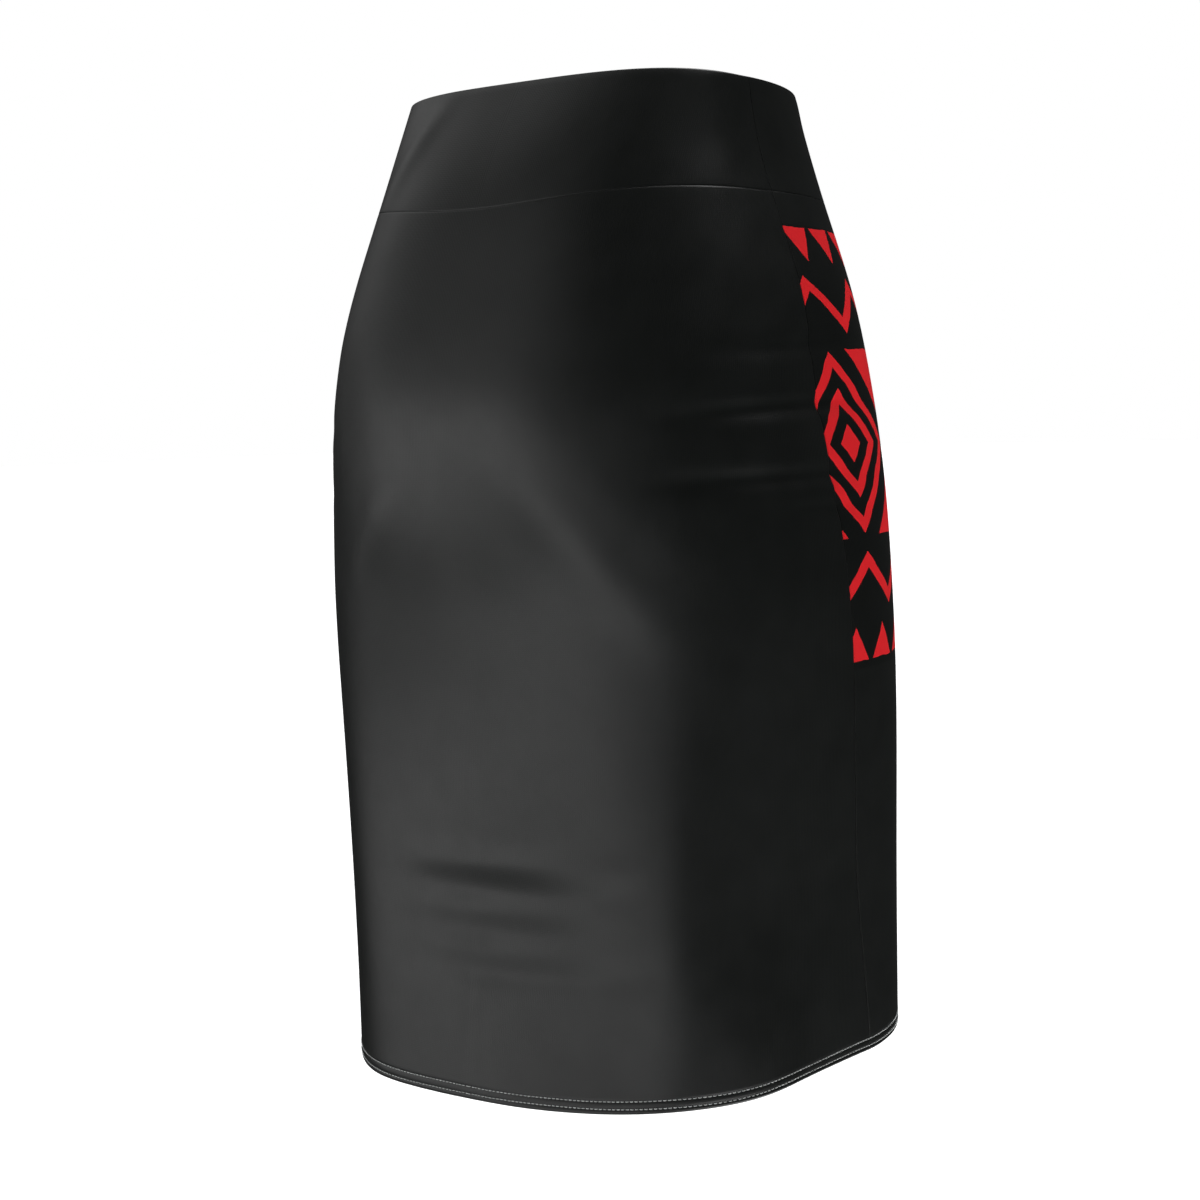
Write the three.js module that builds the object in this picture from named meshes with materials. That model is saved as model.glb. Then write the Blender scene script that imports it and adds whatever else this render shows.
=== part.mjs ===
// A knee-length pencil skirt in a stretch knit, standing open in the shape that it is worn in.
// Millimetres, +Z up. The origin is the middle of the waistline, where the waist holds the skirt up.
// The wearer faces -Y, so the back is at +Y and the wearer's right side is at -X.
import * as THREE from "three";

// Driving dimensions
const LENGTH = 580; // centre back, from the waist edge to the hem
const WAIST_TILT = 10; // the waist edge sits this much lower at the front than at the back
const HEM_TILT = 25; // the hem hangs this much higher at the front than at the back
const CLOTH = 1.2; // thickness of one layer of the knit
const BAND_DEPTH = 67; // waistband, from the waist edge to its seam at the sides
const BAND_DIP = 8; // its seam dips this much lower at the centre back
const BAND_DIP_REACH = 35; // how far above and below the seam the dip is felt
const HEM_DEPTH = 10; // cloth turned up inside the hem, as deep as its two rows of stitching
const HEM_STEP = 0.6; // height over which the turned-up layer starts
const SEAM_GAP = 0.3; // parting between two pieces that are sewn together

// The form of the filled-out skirt, a ring for each row. Drop is measured down from the waist edge.
// Each ring is a rounded oblong: its half width, where its side seams lie from back to front, how far
// it reaches behind and before them, and how square it is there (2 is an ellipse, more is squarer).
const FORM = [
  { drop: 0, halfWidth: 119, seamY: 30, backDepth: 59, frontDepth: 119, backSquare: 3.05, frontSquare: 2.15 },
  { drop: 67, halfWidth: 132, seamY: 31, backDepth: 96, frontDepth: 129, backSquare: 2.6, frontSquare: 2.5 },
  { drop: 120, halfWidth: 152, seamY: 31, backDepth: 113, frontDepth: 130, backSquare: 2.45, frontSquare: 2.5 },
  { drop: 175, halfWidth: 162, seamY: 33, backDepth: 125, frontDepth: 136, backSquare: 2.4, frontSquare: 2.65 },
  { drop: 235, halfWidth: 171, seamY: 29, backDepth: 129, frontDepth: 133, backSquare: 2.35, frontSquare: 2.6 },
  { drop: 290, halfWidth: 175, seamY: 22, backDepth: 133, frontDepth: 126, backSquare: 2.45, frontSquare: 2.5 },
  { drop: 345, halfWidth: 175, seamY: 15, backDepth: 136, frontDepth: 121, backSquare: 2.6, frontSquare: 2.45 },
  { drop: 450, halfWidth: 168, seamY: 4, backDepth: 147, frontDepth: 116, backSquare: 2.7, frontSquare: 2.45 },
  { drop: 580, halfWidth: 156, seamY: -20, backDepth: 180, frontDepth: 101, backSquare: 2.9, frontSquare: 2.35 },
];

// The largest folds. Girth is measured round the cloth from the centre back, to the wearer's right.
// Depth is the cloth's move outwards, so a trough is negative; bow bends the fold downwards.
const FOLDS = [
  // Creases behind the knees: a ridge over a trough, and two lighter troughs under them
  { girth: [-72, 124], drop: [446, 444], spread: 9, depth: 1.2, bow: 1 },
  { girth: [-72, 124], drop: [460, 456], spread: 9, depth: -1.6, bow: 1 },
  { girth: [-70, 116], drop: [482, 478], spread: 9, depth: -1.2, bow: 3 },
  { girth: [-54, 132], drop: [505, 500], spread: 9, depth: -1.3, bow: 4 },
  // Drag lines over the wearer's right hip, and their like over the left
  { girth: [140, 300], drop: [160, 152], spread: 6, depth: -1.5, bow: 1 },
  { girth: [114, 324], drop: [197, 191], spread: 6, depth: -2.5, bow: -3 },
  { girth: [114, 310], drop: [232, 231], spread: 6, depth: -2.1, bow: -1 },
  { girth: [184, 304], drop: [249, 250], spread: 5, depth: -1.3, bow: 0 },
  { girth: [-148, -304], drop: [166, 158], spread: 6, depth: -1.6, bow: 1 },
  { girth: [-122, -320], drop: [200, 196], spread: 6, depth: -2.2, bow: -3 },
  { girth: [-132, -302], drop: [236, 240], spread: 6, depth: -1.9, bow: -1 },
  // Fainter ones that run down from each hip towards the middle of the front
  { girth: [322, 462], drop: [214, 246], spread: 7, depth: -1.3, bow: 3 },
  { girth: [-316, -452], drop: [222, 256], spread: 7, depth: -1.2, bow: 3 },
  // Cloth drawn from the centre back to each thigh, and the shallow hollow between them
  { girth: [18, 146], drop: [206, 334], spread: 19, depth: 2.4, bow: -5 },
  { girth: [-14, -142], drop: [204, 330], spread: 19, depth: 2, bow: -5 },
  { girth: [-110, 98], drop: [284, 290], spread: 30, depth: -2, bow: 0 },
  // Soft draws and hollows over the seat
  { girth: [-170, 204], drop: [180, 162], spread: 29, depth: -1.2, bow: -7 },
  { girth: [-134, -84], drop: [142, 234], spread: 28, depth: -1.3, bow: -10 },
  { girth: [95, 226], drop: [122, 134], spread: 28, depth: -1.8, bow: 2 },
  { girth: [96, 252], drop: [56, 88], spread: 26, depth: 2, bow: -6 },
  { girth: [24, 192], drop: [176, 286], spread: 29, depth: 2.5, bow: 14 },
  { girth: [-92, 14], drop: [258, 282], spread: 42, depth: 2.8, bow: 3 },
  { girth: [-148, -84], drop: [268, 286], spread: 28, depth: -1.1, bow: 2 },
  // The hollow between the thighs, which leans to the wearer's right on its way to the hem
  { girth: [-100, 104], drop: [300, 310], spread: 52, depth: -2.8, bow: 8 },
  { girth: [-134, 72], drop: [362, 360], spread: 84, depth: -4.2, bow: 21 },
  { girth: [-18, 116], drop: [414, 686], spread: 54, depth: -5.4, bow: -17 },
  // The rounding over each thigh, and the flat before each side seam
  { girth: [90, 260], drop: [254, 850], spread: 41, depth: 3.8, bow: 19 },
  { girth: [-132, -52], drop: [352, 726], spread: 30, depth: 2.3, bow: -4 },
  { girth: [162, 208], drop: [462, 720], spread: 32, depth: 3.6, bow: 0 },
  { girth: [216, 238], drop: [276, 580], spread: 56, depth: -4.8, bow: 0 },
  { girth: [-216, -238], drop: [276, 580], spread: 45, depth: -4, bow: 0 },
  // The waistband drawn from its left edge, and standing out round the front in two halves
  { girth: [-44, -110], drop: [-8, 88], spread: 10, depth: 1.6, bow: 0 },
  { girth: [172, 520], drop: [2, 2], spread: 13, depth: 3, bow: 0 },
  { girth: [-172, -520], drop: [2, 2], spread: 13, depth: 3, bow: 0 },
  // The hollow at the front, in two halves that meet at its middle
  { girth: [350, 626], drop: [440, 440], spread: 90, depth: -2.5, bow: 0 },
  { girth: [-350, -626], drop: [440, 440], spread: 90, depth: -2.5, bow: 0 },
];
const FOLD_FADE = 0.4; // share of its length over which a fold rises at each end

// Rows of the cloth, closer together where it is folded. Each runs down to a drop in steps of a height.
const PANEL_ROWS = [
  { to: 147, step: 14 },
  { to: 276, step: 6.8 },
  { to: 330, step: 15 },
  { to: 444, step: 19 },
  { to: 512, step: 6.8 },
  { to: LENGTH - HEM_DEPTH - HEM_STEP, step: 17 },
  { to: LENGTH - HEM_DEPTH, step: HEM_STEP },
  { to: LENGTH, step: HEM_DEPTH / 2 },
];
const BAND_ROWS = [{ to: BAND_DEPTH, step: 13 }];

const HALVES = {
  back: { from: 0, columns: 36 },
  front: { from: Math.PI, columns: 30 },
};
const RING_SAMPLES = 160; // chords that measure a half ring
const NORMAL_STEP = 1; // distance over which the cloth's slope is read

/** Natural cubic spline through the points (xs, ys), as a function of x. */
function splineThrough(xs, ys) {
  const last = xs.length - 1;
  const bend = new Array(last + 1).fill(0);
  const spare = new Array(last + 1).fill(0);
  for (let i = 1; i < last; i++) {
    const share = (xs[i] - xs[i - 1]) / (xs[i + 1] - xs[i - 1]);
    const pivot = share * bend[i - 1] + 2;
    const turn = (ys[i + 1] - ys[i]) / (xs[i + 1] - xs[i]) - (ys[i] - ys[i - 1]) / (xs[i] - xs[i - 1]);
    bend[i] = (share - 1) / pivot;
    spare[i] = ((6 * turn) / (xs[i + 1] - xs[i - 1]) - share * spare[i - 1]) / pivot;
  }
  for (let i = last - 1; i >= 0; i--) bend[i] = bend[i] * bend[i + 1] + spare[i];
  bend[0] = 0;
  return (x) => {
    let i = 0;
    while (i < last - 1 && x > xs[i + 1]) i++;
    const gap = xs[i + 1] - xs[i];
    const after = (x - xs[i]) / gap;
    const before = 1 - after;
    const curve = (before ** 3 - before) * bend[i] + (after ** 3 - after) * bend[i + 1];
    return before * ys[i] + after * ys[i + 1] + (curve * gap * gap) / 6;
  };
}

const drops = FORM.map((row) => row.drop);
const formCurves = Object.fromEntries(
  Object.keys(FORM[0]).map((name) => [name, splineThrough(drops, FORM.map((row) => row[name]))]),
);

/** The ring's sizes at a drop. */
function formAt(drop) {
  return Object.fromEntries(Object.entries(formCurves).map(([name, curve]) => [name, curve(drop)]));
}

/** Point of a ring seen from above. Angle 0 is the wearer's left seam, and the back comes next. */
function ringPoint(form, angle) {
  const across = Math.cos(angle);
  const along = Math.sin(angle);
  const square = along >= 0 ? form.backSquare : form.frontSquare;
  const depth = along >= 0 ? form.backDepth : form.frontDepth;
  const x = form.halfWidth * Math.sign(across) * Math.abs(across) ** (2 / square);
  const y = form.seamY + depth * Math.sign(along) * Math.abs(along) ** (2 / square);
  return new THREE.Vector2(x, y);
}

const measuredRings = new Map();

/** Half a ring from seam to seam, with the length run at each of its angles. */
function halfRing(half, drop) {
  const key = half + drop.toFixed(3);
  if (measuredRings.has(key)) return measuredRings.get(key);
  const form = formAt(drop);
  const angles = [];
  const lengths = [0];
  let before = null;
  for (let i = 0; i <= RING_SAMPLES; i++) {
    angles.push(HALVES[half].from + (Math.PI * i) / RING_SAMPLES);
    const point = ringPoint(form, angles[i]);
    if (before) lengths.push(lengths[i - 1] + before.distanceTo(point));
    before = point;
  }
  const ring = { form, angles, lengths, girth: lengths[RING_SAMPLES] };
  measuredRings.set(key, ring);
  return ring;
}

/** The angle at a share of the half ring's girth. */
function angleAt(ring, share) {
  const run = THREE.MathUtils.clamp(share, 0, 1) * ring.girth;
  let i = 0;
  while (i < RING_SAMPLES - 1 && ring.lengths[i + 1] < run) i++;
  const part = (run - ring.lengths[i]) / (ring.lengths[i + 1] - ring.lengths[i]);
  return THREE.MathUtils.lerp(ring.angles[i], ring.angles[i + 1], part);
}

/** How far the cloth is moved outwards by the folds at a girth and drop. */
function foldDepth(girth, drop) {
  let depth = 0;
  for (const fold of FOLDS) {
    const start = new THREE.Vector2(fold.girth[0], fold.drop[0]);
    const run = new THREE.Vector2(fold.girth[1], fold.drop[1]).sub(start);
    const place = new THREE.Vector2(girth, drop).sub(start);
    const along = place.dot(run) / run.lengthSq();
    if (along <= 0 || along >= 1) continue;
    const below = (Math.sign(run.x) * run.cross(place)) / run.length();
    const aside = below - fold.bow * 4 * along * (1 - along);
    const rise = THREE.MathUtils.smoothstep(along, 0, FOLD_FADE);
    const fall = THREE.MathUtils.smoothstep(1 - along, 0, FOLD_FADE);
    depth += fold.depth * rise * fall * Math.exp(-((aside / fold.spread) ** 2));
  }
  return depth;
}

/** Girth from the centre back at a share of a half ring, positive to the wearer's right. */
function girthFromBack(half, drop, share) {
  const back = halfRing("back", drop).girth;
  if (half === "back") return (share - 0.5) * back;
  const front = halfRing("front", drop).girth;
  return share < 0.5 ? back / 2 + share * front : -back / 2 - (1 - share) * front;
}

/** The form's own surface, without folds. */
function formPoint(half, drop, share) {
  const ring = halfRing(half, drop);
  const angle = angleAt(ring, share);
  const { x, y } = ringPoint(ring.form, angle);
  const lean = Math.sin(angle);
  const waist = (WAIST_TILT / 2) * lean;
  const hem = (WAIST_TILT + HEM_TILT) / 2 - LENGTH - (HEM_TILT / 2) * lean;
  return new THREE.Vector3(x, y, THREE.MathUtils.lerp(waist, hem, drop / LENGTH));
}

/** Drop of a row once the dip of the waistband's seam at the centre back has pulled it down. */
function dippedDrop(half, row, share) {
  if (half === "front") return row;
  const lobe = Math.sin(Math.PI * share) ** 4;
  const reach = Math.exp(-(((row - BAND_DEPTH) / BAND_DIP_REACH) ** 2));
  return Math.min(row + BAND_DIP * lobe * reach, LENGTH);
}

/** Outer point of the cloth, folds and all. */
function clothPoint(half, row, share) {
  const drop = dippedDrop(half, row, share);
  const step = NORMAL_STEP / halfRing(half, drop).girth;
  const before = formPoint(half, drop, share - step);
  const after = formPoint(half, drop, share + step);
  const outwards = new THREE.Vector3(after.y - before.y, before.x - after.x, 0).normalize();
  const depth = foldDepth(girthFromBack(half, drop, share), drop);
  return formPoint(half, drop, share).addScaledVector(outwards, depth);
}

/** Outward direction of the cloth at a point. */
function clothNormal(half, row, share) {
  const step = NORMAL_STEP / halfRing(half, row).girth;
  const across = clothPoint(half, row, share + step).sub(clothPoint(half, row, share - step));
  const above = clothPoint(half, Math.max(row - NORMAL_STEP, 0), share);
  const below = clothPoint(half, Math.min(row + NORMAL_STEP, LENGTH), share);
  return across.cross(above.sub(below)).normalize();
}

/** The drops of a piece's rows, from its top edge down through the stretches of a table. */
function rowDrops(top, stretches) {
  const rows = [top];
  for (const { to, step } of stretches) {
    const from = rows[rows.length - 1];
    const count = Math.max(1, Math.round((to - from) / step));
    for (let i = 1; i <= count; i++) rows.push(from + ((to - from) * i) / count);
  }
  return rows;
}

/** A closed wall of cloth between an outer and an inner grid of points, both [row][column]. */
function wallGeometry(outer, inner) {
  const rows = outer.length;
  const columns = outer[0].length;
  const positions = [...outer.flat(), ...inner.flat()].flatMap((point) => point.toArray());
  const outside = (i, j) => i * columns + j;
  const inside = (i, j) => rows * columns + i * columns + j;
  const index = [];
  const quad = (a, b, c, d) => index.push(a, b, c, a, c, d);
  for (let i = 0; i < rows - 1; i++) {
    for (let j = 0; j < columns - 1; j++) {
      quad(outside(i, j), outside(i + 1, j), outside(i + 1, j + 1), outside(i, j + 1));
      quad(inside(i, j), inside(i, j + 1), inside(i + 1, j + 1), inside(i + 1, j));
    }
    quad(outside(i, 0), inside(i, 0), inside(i + 1, 0), outside(i + 1, 0));
    const end = columns - 1;
    quad(outside(i, end), outside(i + 1, end), inside(i + 1, end), inside(i, end));
  }
  for (let j = 0; j < columns - 1; j++) {
    const end = rows - 1;
    quad(outside(0, j), outside(0, j + 1), inside(0, j + 1), inside(0, j));
    quad(outside(end, j), inside(end, j), inside(end, j + 1), outside(end, j + 1));
  }
  const geometry = new THREE.BufferGeometry();
  geometry.setAttribute("position", new THREE.Float32BufferAttribute(positions, 3));
  geometry.setIndex(index);
  geometry.computeVertexNormals();
  return geometry;
}

/** One cut piece of the skirt: a half of the girth over some rows, with a thickness for each row. */
function clothPiece(name, half, rows, thicknessAt, material) {
  const { columns } = HALVES[half];
  const outer = [];
  const inner = [];
  for (const row of rows) {
    const inset = SEAM_GAP / 2 / halfRing(half, row).girth;
    const shares = Array.from({ length: columns + 1 }, (_, j) =>
      THREE.MathUtils.lerp(inset, 1 - inset, j / columns),
    );
    const points = shares.map((share) => clothPoint(half, row, share));
    const normals = shares.map((share) => clothNormal(half, row, share));
    outer.push(points);
    inner.push(points.map((point, j) => point.clone().addScaledVector(normals[j], -thicknessAt(row))));
  }
  const mesh = new THREE.Mesh(wallGeometry(outer, inner), material);
  mesh.name = name;
  return mesh;
}

/** One layer of knit, doubled where the hem is turned up. */
function panelThickness(row) {
  return row > LENGTH - HEM_DEPTH - HEM_STEP / 2 ? 2 * CLOTH : CLOTH;
}

/** The waistband is folded over at the waist edge, so it is double all the way down. */
function bandThickness() {
  return 2 * CLOTH;
}

const blackKnit = new THREE.MeshStandardMaterial({ color: 0x1b1d1c, roughness: 0.62, metalness: 0 });
const printedKnit = new THREE.MeshStandardMaterial({ color: 0x1a1b1b, roughness: 0.62, metalness: 0 });

const panelRows = rowDrops(BAND_DEPTH + SEAM_GAP / 2, PANEL_ROWS);
const bandRows = rowDrops(0, BAND_ROWS);
bandRows[bandRows.length - 1] -= SEAM_GAP / 2;

const skirt = new THREE.Group();
skirt.name = "pencil_skirt";
skirt.add(
  clothPiece("back_panel", "back", panelRows, panelThickness, blackKnit),
  clothPiece("front_panel", "front", panelRows, panelThickness, printedKnit),
  clothPiece("waistband_back", "back", bandRows, bandThickness, blackKnit),
  clothPiece("waistband_front", "front", bandRows, bandThickness, blackKnit),
);

export default skirt;
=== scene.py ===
"""Looks of a knee-length pencil skirt in black stretch knit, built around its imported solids.

Garment sizes are in millimetres and turn to metres where a mesh is made. The wearer faces -Y, so the
back is at +Y and the wearer's right side is at -X. Girth is measured round the cloth from the centre
back towards the wearer's right, and drop is measured down from the waist edge.
"""

from __future__ import annotations

import logging
import math
from abc import ABC, abstractmethod
from collections.abc import Callable
from dataclasses import dataclass, field
from enum import Enum
from functools import cached_property

import bpy
import numpy as np
from mathutils import Matrix, Vector

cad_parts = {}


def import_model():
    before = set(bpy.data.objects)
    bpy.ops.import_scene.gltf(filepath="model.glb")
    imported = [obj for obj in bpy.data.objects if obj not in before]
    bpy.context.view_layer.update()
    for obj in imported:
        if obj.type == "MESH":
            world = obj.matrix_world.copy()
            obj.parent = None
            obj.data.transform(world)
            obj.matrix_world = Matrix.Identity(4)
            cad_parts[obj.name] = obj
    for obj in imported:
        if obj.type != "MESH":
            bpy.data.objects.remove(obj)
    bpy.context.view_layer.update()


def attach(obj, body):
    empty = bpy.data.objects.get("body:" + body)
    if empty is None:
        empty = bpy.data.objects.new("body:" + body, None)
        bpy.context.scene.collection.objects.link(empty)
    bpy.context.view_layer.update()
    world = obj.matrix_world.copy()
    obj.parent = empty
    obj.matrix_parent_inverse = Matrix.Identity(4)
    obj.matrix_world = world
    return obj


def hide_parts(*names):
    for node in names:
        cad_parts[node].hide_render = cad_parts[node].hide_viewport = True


LOG = logging.getLogger("pencil_skirt")
MM = 0.001
ROOT = "root"
CLOTH_MAP = "cloth"
CREASE_ANGLE = 40.0  # edges sharper than this, in degrees, stay sharp
LAST_PLACE = 1.001  # a place this far before the end of a table still has a next row
NOISE_LOW, NOISE_HIGH = 0.35, 0.65  # most of a noise's values lie between these

Plug = bpy.types.Node | bpy.types.NodeSocket | float | tuple[float, ...]


def linear(colour: str) -> tuple[float, float, float, float]:
    """Turn an sRGB hex colour into a linear one.

    Args:
        colour: six hex digits after a hash sign.

    Returns:
        Linear red, green and blue, and an alpha of 1.
    """
    parts = [int(colour[i : i + 2], 16) / 255 for i in (1, 3, 5)]
    red, green, blue = (c / 12.92 if c <= 0.04045 else ((c + 0.055) / 1.055) ** 2.4 for c in parts)
    return red, green, blue, 1.0


def add_node(
    tree: bpy.types.NodeTree, kind: str, plugs: dict[str | int, Plug] | None = None, **settings: object
) -> bpy.types.Node:
    """Add a node with its settings and links.

    Args:
        tree: the node tree that it joins.
        kind: the node's type name.
        plugs: for an input's name or number, a value, a socket, or a node for its first output.
        **settings: properties of the node.

    Returns:
        The new node.
    """
    node = tree.nodes.new(kind)
    for name, value in settings.items():
        setattr(node, name, value)
    for name, plug in (plugs or {}).items():
        source = plug.outputs[0] if isinstance(plug, bpy.types.Node) else plug
        if isinstance(source, bpy.types.NodeSocket):
            tree.links.new(source, node.inputs[name])
        else:
            node.inputs[name].default_value = source
    return node


def empty_tree(owner: bpy.types.Material | bpy.types.World) -> bpy.types.NodeTree:
    """Give a material or a world a node tree without nodes.

    Args:
        owner: the material or world.

    Returns:
        Its empty node tree.
    """
    owner.use_nodes = True
    owner.node_tree.nodes.clear()
    return owner.node_tree


def add_noise(tree: bpy.types.NodeTree, place: Plug, size: float, detail: float = 2.0) -> bpy.types.Node:
    """Add a noise whose patches have a given size."""
    plugs = {"Vector": place, "Scale": 1 / size, "Detail": detail}
    return add_node(tree, "ShaderNodeTexNoise", plugs)


def add_mix(tree: bpy.types.NodeTree, share: Plug, first: Plug, second: Plug) -> bpy.types.NodeSocket:
    """Add a mix of two colours, and give the socket of its result."""
    plugs = {0: share, 6: first, 7: second}
    return add_node(tree, "ShaderNodeMix", plugs, data_type="RGBA").outputs[2]


def add_range_test(tree: bpy.types.NodeTree, value: Plug, low: float, high: float) -> bpy.types.Node:
    """Add a node that gives 1 where a value lies between two bounds, and 0 elsewhere."""
    plugs = {0: value, 1: (low + high) / 2, 2: (high - low) / 2}
    return add_node(tree, "ShaderNodeMath", plugs, operation="COMPARE")


def natural_spline(knots: np.ndarray, table: np.ndarray) -> Callable[[np.ndarray], np.ndarray]:
    """Draw smooth curves through the columns of a table.

    Args:
        knots: where each row of the table stands.
        table: one row for each knot.

    Returns:
        A function from places to rows of the smoothed table.
    """
    gaps = np.diff(knots)
    slopes = np.diff(table, axis=0) / gaps[:, None]
    system = np.eye(len(knots))
    turns = np.zeros_like(table)
    for i in range(1, len(knots) - 1):
        system[i, i - 1 : i + 2] = gaps[i - 1], 2 * (gaps[i - 1] + gaps[i]), gaps[i]
        turns[i] = 6 * (slopes[i] - slopes[i - 1])
    bends = np.linalg.solve(system, turns)

    def curve(place: np.ndarray) -> np.ndarray:
        """Give the smoothed row at each place."""
        i = np.clip(np.searchsorted(knots, place) - 1, 0, len(gaps) - 1)
        after = ((place - knots[i]) / gaps[i])[..., None]
        before = 1 - after
        sway = (before**3 - before) * bends[i] + (after**3 - after) * bends[i + 1]
        return before * table[i] + after * table[i + 1] + sway * (gaps[i] ** 2)[..., None] / 6

    return curve


def smooth_step(share: np.ndarray) -> np.ndarray:
    """Ease from 0 to 1 as share does."""
    held = np.clip(share, 0, 1)
    return held * held * (3 - 2 * held)


class Half(Enum):
    """The two halves of the girth, by the angle at which each begins at a side seam."""

    BACK = 0.0
    FRONT = math.pi


@dataclass(frozen=True)
class Ring:
    """One level of the filled-out skirt: a rounded oblong, squarer as its squareness passes 2."""

    drop: float
    half_width: float
    seam_y: float
    back_depth: float
    front_depth: float
    back_square: float
    front_square: float


@dataclass(frozen=True)
class Fold:
    """A soft crease from one place on the cloth to another, sunk where its depth is negative."""

    girth: tuple[float, float]
    drop: tuple[float, float]
    spread: float
    depth: float
    bow: float = 0.0
    fade: float = 0.4

    def lift(self, girth: np.ndarray, drop: np.ndarray) -> np.ndarray:
        """Find how far the cloth is moved outwards.

        Args:
            girth: places round the cloth.
            drop: places down it.

        Returns:
            The move outwards at each place.
        """
        run = np.array([self.girth[1] - self.girth[0], self.drop[1] - self.drop[0]])
        across, down = girth - self.girth[0], drop - self.drop[0]
        along = (across * run[0] + down * run[1]) / (run @ run)
        below = np.sign(run[0]) * (run[0] * down - run[1] * across) / np.hypot(*run)
        aside = below - self.bow * 4 * along * (1 - along)
        ends = smooth_step(along / self.fade) * smooth_step((1 - along) / self.fade)
        return self.depth * ends * np.exp(-((aside / self.spread) ** 2))


RINGS = (
    Ring(0, 119, 30, 59, 119, 3.05, 2.15),
    Ring(67, 132, 31, 96, 129, 2.6, 2.5),
    Ring(120, 152, 31, 113, 130, 2.45, 2.5),
    Ring(175, 162, 33, 125, 136, 2.4, 2.65),
    Ring(235, 171, 29, 129, 133, 2.35, 2.6),
    Ring(290, 175, 22, 133, 126, 2.45, 2.5),
    Ring(345, 175, 15, 136, 121, 2.6, 2.45),
    Ring(450, 168, 4, 147, 116, 2.7, 2.45),
    Ring(580, 156, -20, 180, 101, 2.9, 2.35),
)

FOLDS = (
    # Creases behind the knees: a ridge over a trough, and two lighter troughs under them
    Fold((-72, 124), (446, 444), 9, 1.2, 1),
    Fold((-72, 124), (460, 456), 9, -1.6, 1),
    Fold((-70, 116), (482, 478), 9, -1.2, 3),
    Fold((-54, 132), (505, 500), 9, -1.3, 4),
    # Drag lines over the wearer's right hip, and their like over the left
    Fold((140, 300), (160, 152), 6, -1.5, 1),
    Fold((114, 324), (197, 191), 6, -2.5, -3),
    Fold((114, 310), (232, 231), 6, -2.1, -1),
    Fold((184, 304), (249, 250), 5, -1.3),
    Fold((-148, -304), (166, 158), 6, -1.6, 1),
    Fold((-122, -320), (200, 196), 6, -2.2, -3),
    Fold((-132, -302), (236, 240), 6, -1.9, -1),
    # Fainter ones that run down from each hip towards the middle of the front
    Fold((322, 462), (214, 246), 7, -1.3, 3),
    Fold((-316, -452), (222, 256), 7, -1.2, 3),
    # Cloth drawn from the centre back to each thigh, and the shallow hollow between them
    Fold((18, 146), (206, 334), 19, 2.4, -5),
    Fold((-14, -142), (204, 330), 19, 2, -5),
    Fold((-110, 98), (284, 290), 30, -2),
    # Soft draws and hollows over the seat
    Fold((-170, 204), (180, 162), 29, -1.2, -7),
    Fold((-134, -84), (142, 234), 28, -1.3, -10),
    Fold((95, 226), (122, 134), 28, -1.8, 2),
    Fold((96, 252), (56, 88), 26, 2, -6),
    Fold((24, 192), (176, 286), 29, 2.5, 14),
    Fold((-92, 14), (258, 282), 42, 2.8, 3),
    Fold((-148, -84), (268, 286), 28, -1.1, 2),
    # The hollow between the thighs, which leans to the wearer's right on its way to the hem
    Fold((-100, 104), (300, 310), 52, -2.8, 8),
    Fold((-134, 72), (362, 360), 84, -4.2, 21),
    Fold((-18, 116), (414, 686), 54, -5.4, -17),
    # The rounding over each thigh, and the flat before each side seam
    Fold((90, 260), (254, 850), 41, 3.8, 19),
    Fold((-132, -52), (352, 726), 30, 2.3, -4),
    Fold((162, 208), (462, 720), 32, 3.6),
    Fold((216, 238), (276, 580), 56, -4.8),
    Fold((-216, -238), (276, 580), 45, -4),
    # The waistband drawn from its left edge, and standing out round the front in two halves
    Fold((-44, -110), (-8, 88), 10, 1.6),
    Fold((172, 520), (2, 2), 13, 3),
    Fold((-172, -520), (2, 2), 13, 3),
    # The hollow at the front, in two halves that meet at its middle
    Fold((350, 626), (440, 440), 90, -2.5),
    Fold((-350, -626), (440, 440), 90, -2.5),
)


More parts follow.
